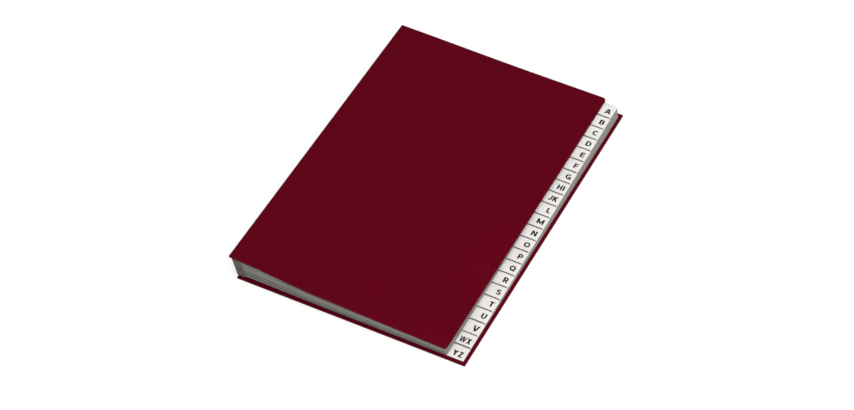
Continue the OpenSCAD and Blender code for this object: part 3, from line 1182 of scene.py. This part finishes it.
@dataclass
class Concertina:
    """The spine: one strip of cloth, folded round the spine edge of every leaf.

    It is made in pieces that meet at the outer folds. Each piece holds an inner fold, between the two
    bodies that it joins. A path is the cloth's middle line, as x and z of its points in the side view and
    the level of each.
    """

    plan: SorterPlan
    wobble: Array
    arc_steps: int = 8
    rows: int = 60
    wall_steps: int = 6
    climb_steps: int = 13
    panel_trim: float = 3.0
    panel_lean: float = 0.06
    panel_share: float = 0.8
    sway_l: float = 37.0
    sway_turns: float = 6.0
    ripple_l: float = 15.0

    def arc(self, level: int, start: float, end: float) -> Run:
        """The cloth's middle round a leaf's spine edge, between two angles, in the leaf's own frame."""
        plan, low = self.plan, self.plan.cloth_low
        high = plan.panel_z + plan.cloth_t / 2 if level == 0 else plan.leaf_t - low
        turn = np.radians(np.linspace(start, end, self.arc_steps + 1))
        radius = (high - low) / 2
        return -plan.stand(level) + radius * np.cos(turn), (high + low) / 2 + radius * np.sin(turn)

    def wall(self, level: int, upper: bool) -> Run:
        """The cloth's middle along one side of a leaf, from its outer fold in, in the leaf's own frame."""
        plan, low = self.plan, self.plan.cloth_low
        x = np.linspace(-plan.stand(level), plan.wall_end, self.wall_steps + 1)[1:]
        return x, np.full_like(x, plan.leaf_t - low if upper else low)

    def wall_back(self, level: int) -> Run:
        """The lower wall of a leaf, from its inner end outward."""
        x, z = self.wall(level, False)
        return x[::-1], z[::-1]

    def inner_fold(self, level: int) -> Path:
        """A half circle from the wall over one leaf to the wall under the leaf above it.

        Its ends are the two walls' ends in the side view, and it bulges toward the fore-edge.

        Args:
            level: Level of the upper leaf.

        Returns:
            The fold's path.
        """
        plan, low = self.plan, self.plan.cloth_low
        below = np.array(plan.side(level + 1, plan.wall_end, plan.leaf_t - low))
        above = np.array(plan.side(level, plan.wall_end, low))
        turn = np.linspace(0, math.pi, self.arc_steps + 3)[1:-1]
        half, middle = (above - below) / 2, (above + below) / 2
        x = middle[0] - half[0] * np.cos(turn) + np.linalg.norm(half) * np.sin(turn)
        z = middle[1] - half[1] * np.cos(turn)
        return x, z, level + 1 - turn / math.pi

    def leaf_run(self, level: int, *parts: Run) -> Path:
        """Joins runs of one leaf's own frame and brings them into the side view, with their level."""
        x, z = (np.concatenate(run) for run in zip(*parts))
        return *self.plan.side(level, x, z), np.full_like(x, level)

    def path_between(self, level: int) -> Path:
        """The path from the outer fold of the leaf below to that of this leaf."""
        over = self.leaf_run(level + 1, self.arc(level + 1, 180, 90), self.wall(level + 1, True))
        back = self.wall_back(level)
        end = self.arc(level, 270, 180) if level else (np.array([-self.plan.stand(0)]), back[1][:1])
        under = self.leaf_run(level, back, end)
        return tuple(np.concatenate(run) for run in zip(over, self.inner_fold(level), under))

    def path_to_front(self) -> Path:
        """The path from under the top leaf, round the front cover's hinge, to the end of its panel."""
        plan = self.plan
        x = np.linspace(-plan.stand(0), plan.panel_w, 3 * self.wall_steps)[1:]
        panel = (x, np.full_like(x, plan.panel_z + plan.cloth_t / 2))
        return self.leaf_run(0, self.arc(0, 270, 90), panel)

    def path_from_back(self) -> Path:
        """The path from the end of the back cover's panel to the lowest leaf's outer fold.

        Between panel and leaf it climbs along a smoothstep.
        """
        plan, lowest = self.plan, self.plan.lowest
        low_z = plan.cover_t + plan.paste_t + plan.cloth_t / 2
        foot_x = plan.pleat_d + plan.panel_run
        panel_x = np.linspace(plan.panel_w, foot_x, self.wall_steps)
        run = self.leaf_run(lowest, self.wall_back(lowest), self.arc(lowest, 270, 180))
        t = np.linspace(0, 1, self.climb_steps + 1)[1:-1]
        climb_x = foot_x + (run[0][0] - foot_x) * t
        climb_z = low_z + (run[1][0] - low_z) * smoothstep(t)
        start = (
            np.concatenate([panel_x, climb_x]),
            np.concatenate([np.full_like(panel_x, low_z), climb_z]),
            lowest + 1 - np.concatenate([np.zeros_like(panel_x), t]),
        )
        return tuple(np.concatenate(pair) for pair in zip(start, run))

    def strip(self, path: Path) -> tuple[Surface, float]:
        """Gives a path the cloth's thickness and length.

        The two faces stand half the thickness off the path along its normal. The cloth sags with its
        leaves, and its outer folds wander a little along the spine: by a slow sine and a short ripple, both
        of the leaf's own size. The panel on the back cover is cut shorter.

        Args:
            path: The cloth's path.

        Returns:
            The solid, and the path's length.
        """
        plan = self.plan
        x, z, level = path
        step = np.hypot(np.gradient(x), np.gradient(z))
        normal_x, normal_z = -np.gradient(z) / step, np.gradient(x) / step
        length = np.concatenate([[0], np.cumsum(np.hypot(np.diff(x), np.diff(z)))])
        half = plan.leaf_l / 2
        share = np.linspace(-1, 1, self.rows + 1)
        run = share * (half + plan.cloth_over)
        shorter = self.panel_trim * np.clip(level - plan.lowest, 0, 1)
        sway, turn, ripple = self.wobble[np.minimum(np.round(level).astype(int), plan.lowest)].T
        grids = []
        for off in (plan.cloth_t / 2, -plan.cloth_t / 2):
            gx, gy = np.meshgrid(x + off * normal_x, half + run)
            gy = gy - share[:, None] * shorter
            along = gx - plan.spine(level)[0]
            outer = np.clip(-along / plan.pleat_stand, 0, 1) * np.clip(level, 0, 1)
            swing = sway * np.sin(gy / self.sway_l + self.sway_turns * turn)
            swing = swing + ripple * np.sin(gy / self.ripple_l + sway)
            gz = z + off * normal_z - plan.drop(level, along, gy)
            grids.append(plan.frame_points(gx + outer * swing, gy + plan.tail_margin, gz))
        made = slab(*grids)
        across, run = np.meshgrid(length, run)
        whole = np.stack([run, across], -1).reshape(-1, 2)
        made.cloth = np.concatenate([whole, whole])
        return made, float(length[-1])

    def bend(self, level: float, low: tuple, high: tuple, lean: float = 0.0) -> Array:
        """The line along which the cloth passes from one side of a pleat to the other.

        The pleat's sides are planes that fall toward the fore-edge by the leaves' tilt and toward the head
        by their splay, so the line stands square to them: its slope is (tan tilt, splay over length, 1).

        Args:
            level: Level of the pleat.
            low: A point of the lower plane in the side view, at the head, where nothing splays.
            high: A point of the upper plane there.
            lean: Further slope toward the fore-edge, for an upper side that falls away past the pleat.

        Returns:
            The line's two ends in the sorter's frame.
        """
        plan = self.plan
        fall = -plan.drop(level, 0.0, 0.0) / plan.leaf_l
        slope = np.array([math.tan(plan.tilt(level)) + lean, fall, 1.0])
        head = plan.tail_margin + plan.leaf_l
        start, other = (plan.frame_points(x, head, z) for x, z in (low, high))
        return np.stack([start, start + slope * (slope @ (other - start)) / (slope @ slope)])

    def lay(self, name: str, path: Path, bodies: tuple, bend: Array, rests_on: list[str]) -> None:
        """Args:
            name: Name of the piece.
            path: Its path.
            bodies: The body that it starts on and the one that it ends on.
            bend: The two points between which it passes from one body to the other; not used.
            rests_on: The pieces that it is pasted to; not used.
        """
        surface, width = self.strip(path)
        piece = surface.piece(name, crease=50.0)
        Stock.CLOTH.value.dress(piece)
        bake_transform(piece)
        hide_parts("spine_gusset")
        length = self.plan.leaf_l + 2 * self.plan.cloth_over
        faces = len(piece.data.polygons)
        LOG.info("%s: %d faces, cloth %.1f x %.1f mm, %s to %s", name, faces, width, length, *bodies)

    def build(self) -> None:
        """Makes the back piece, one piece for each pair of leaves, and the front piece."""
        plan, reach, side = self.plan, self.plan.pleat_d, self.plan.cloth_side
        low, top = plan.key(plan.lowest), plan.key(0)
        floor_z, under_z = plan.cover_t + side, plan.side(plan.lowest, reach, -side)[1]
        bend = np.stack([plan.frame_points(reach, plan.cover_l / 2, z) for z in (floor_z, under_z)])
        self.lay("cloth_back_" + low, self.path_from_back(), ("back_cover", "page_" + low),
                 bend, ["back_covering", "card_" + low])
        for level in range(plan.lowest - 1, -1, -1):
            here, below = plan.key(level), plan.key(level + 1)
            over = plan.side(level + 1, reach / 2, plan.leaf_t + side)
            bend = self.bend(level + 0.5, over, plan.side(level, reach / 2, -side))
            self.lay(f"cloth_{below}_{here}", self.path_between(level), ("page_" + below, "page_" + here),
                     bend, ["card_" + below, "card_" + here])
        edge, high = -plan.stand(0), self.panel_share * plan.panel_z
        bend = self.bend(0.0, plan.side(0, edge, 0.0), plan.side(0, edge, high), self.panel_lean)
        self.lay("cloth_" + top + "_front", self.path_to_front(), ("page_" + top, "front_cover"),
                 bend, ["card_" + top, "front_covering"])


@dataclass(frozen=True)
class SoftBox:
    """A square lamp that looks at the sorter: its place and side in metres, and its power in watts."""

    name: str
    place: tuple[float, float, float]
    size: float
    watts: float


@dataclass
class Studio:
    """The floor, the lights and the camera.

    The camera is set by its angles, its distance from a point on the desk and its focal length in the
    picture's pixels, all taken from the sorter's own edges.
    """

    picture_w: int = 854
    focal_px: float = 2222.4
    azimuth: float = 31.803
    elevation: float = 48.863
    roll: float = -5.113
    distance: float = 2132.4
    aim: tuple = (3.0, 0.0, 0.0)
    across: float = 7.667
    above: float = 9.169
    sensor: float = 36.0
    floor_half: float = 4000.0
    floor_drop: float = 0.2
    floor_tone: tuple = (0.85, 0.85, 0.85, 1.0)
    floor_seen: tuple = (0.35, 0.35, 0.35, 1.0)
    floor_glow: float = 0.72
    sky: float = 0.45
    lamps: tuple[SoftBox, ...] = (
        SoftBox("overhead", (0.6, -0.4, 1.8), 1.6, 25.0),
        SoftBox("right fill", (1.3, -1.1, 0.9), 1.3, 6.0),
    )

    def stand(self, name: str, data: bpy.types.ID, axes: tuple, place: Values) -> Piece:
        """Links a camera or lamp.

        Args:
            name: Its name.
            data: Its camera or lamp data.
            axes: Directions of its own x, y and z.
            place: Where it stands, in metres.

        Returns:
            The new object.
        """
        made = bpy.data.objects.new(name, data)
        turn = np.eye(4)
        turn[:3, :3], turn[:3, 3] = np.stack(axes, 1), place
        made.matrix_world = Matrix(turn.tolist())
        bpy.context.scene.collection.objects.link(made)
        return made

    def camera(self) -> None:
        """Sets the camera: it looks back along its own axis, rolled about it and moved sideways and up."""
        a, e, r = (math.radians(v) for v in (self.azimuth, self.elevation, self.roll))
        back = np.array([math.sin(a) * math.cos(e), -math.cos(a) * math.cos(e), math.sin(e)])
        level = np.array([math.cos(a), math.sin(a), 0.0])
        steep = np.cross(back, level)
        right = level * math.cos(r) + steep * math.sin(r)
        up = steep * math.cos(r) - level * math.sin(r)
        eye = np.array(self.aim) - self.across * right - self.above * up + self.distance * back
        lens = bpy.data.cameras.new("camera")
        lens.sensor_fit, lens.sensor_width = "HORIZONTAL", self.sensor
        lens.lens = self.focal_px * self.sensor / self.picture_w
        lens.clip_start, lens.clip_end = 0.05, 50.0
        bpy.context.scene.camera = self.stand("camera", lens, (right, up, back), eye * MM)

    def floor(self) -> None:
        """A plain pale floor, white to the camera, that keeps the sorter's shadow."""
        corners = np.array([(-1, -1), (1, -1), (1, 1), (-1, 1)]) * self.floor_half
        points = np.column_stack([corners, np.full(len(corners), -self.floor_drop)])
        made = Surface(points, np.array([[0, 1, 2, 3]])).piece("floor")
        material = bpy.data.materials.new("floor")
        material.use_nodes = True
        graph, nodes = Graph(material.node_tree), material.node_tree.nodes
        nodes.remove(nodes["Principled BSDF"])
        rays = graph.node("LightPath").outputs
        seen = graph.math("MAXIMUM", rays["Is Camera Ray"], rays["Is Glossy Ray"])
        seen = graph.math("MAXIMUM", seen, rays["Is Transmission Ray"])
        matt = graph.node("BsdfDiffuse", {"Color": graph.mix(seen, self.floor_tone, self.floor_seen)})
        strength = graph.math("MULTIPLY", seen, self.floor_glow)
        glow = graph.node("Emission", {"Color": (1.0, 1.0, 1.0, 1.0), "Strength": strength})
        both = graph.node("AddShader", {0: matt.outputs[0], 1: glow.outputs[0]})
        graph.feed(nodes["Material Output"], {"Surface": both.outputs[0]})
        made.data.materials.append(material)

    def light(self, box: SoftBox) -> None:
        """Sets up a soft box that looks at the sorter."""
        lamp = bpy.data.lights.new(box.name, "AREA")
        lamp.shape, lamp.size, lamp.energy = "SQUARE", box.size, box.watts
        back = np.array(box.place) / np.linalg.norm(box.place)
        right = np.cross((0.0, 1.0, 0.0), back)
        right /= np.linalg.norm(right)
        self.stand(box.name, lamp, (right, np.cross(back, right), back), box.place)

    def world(self) -> None:
        """An even pale sky."""
        sky = bpy.data.worlds.new("studio")
        sky.use_nodes = True
        inputs = {"Color": (1.0, 1.0, 1.0, 1.0), "Strength": self.sky}
        Graph(sky.node_tree).feed(sky.node_tree.nodes["Background"], inputs)
        bpy.context.scene.world = sky

    def build(self) -> None:
        """Sets the camera, the floor, the sky and the lamps."""
        self.camera()
        self.floor()
        self.world()
        for box in self.lamps:
            self.light(box)
        bpy.context.scene.view_settings.view_transform = "Standard"


def main() -> None:
    """Builds the studio and the sorter's sub-assemblies in order."""
    logging.basicConfig(level=logging.INFO, format="%(name)s: %(message)s")
    plan = SorterPlan()
    Studio().build()
    for side in Side:
        Cover(plan, side).build()
    chance = np.random.default_rng(SEED)
    IndexStack(plan, chance).build()
    Concertina(plan, chance.uniform(0.05, 0.2, (len(plan.letters), 3))).build()


if __name__ == "__main__":
    main()
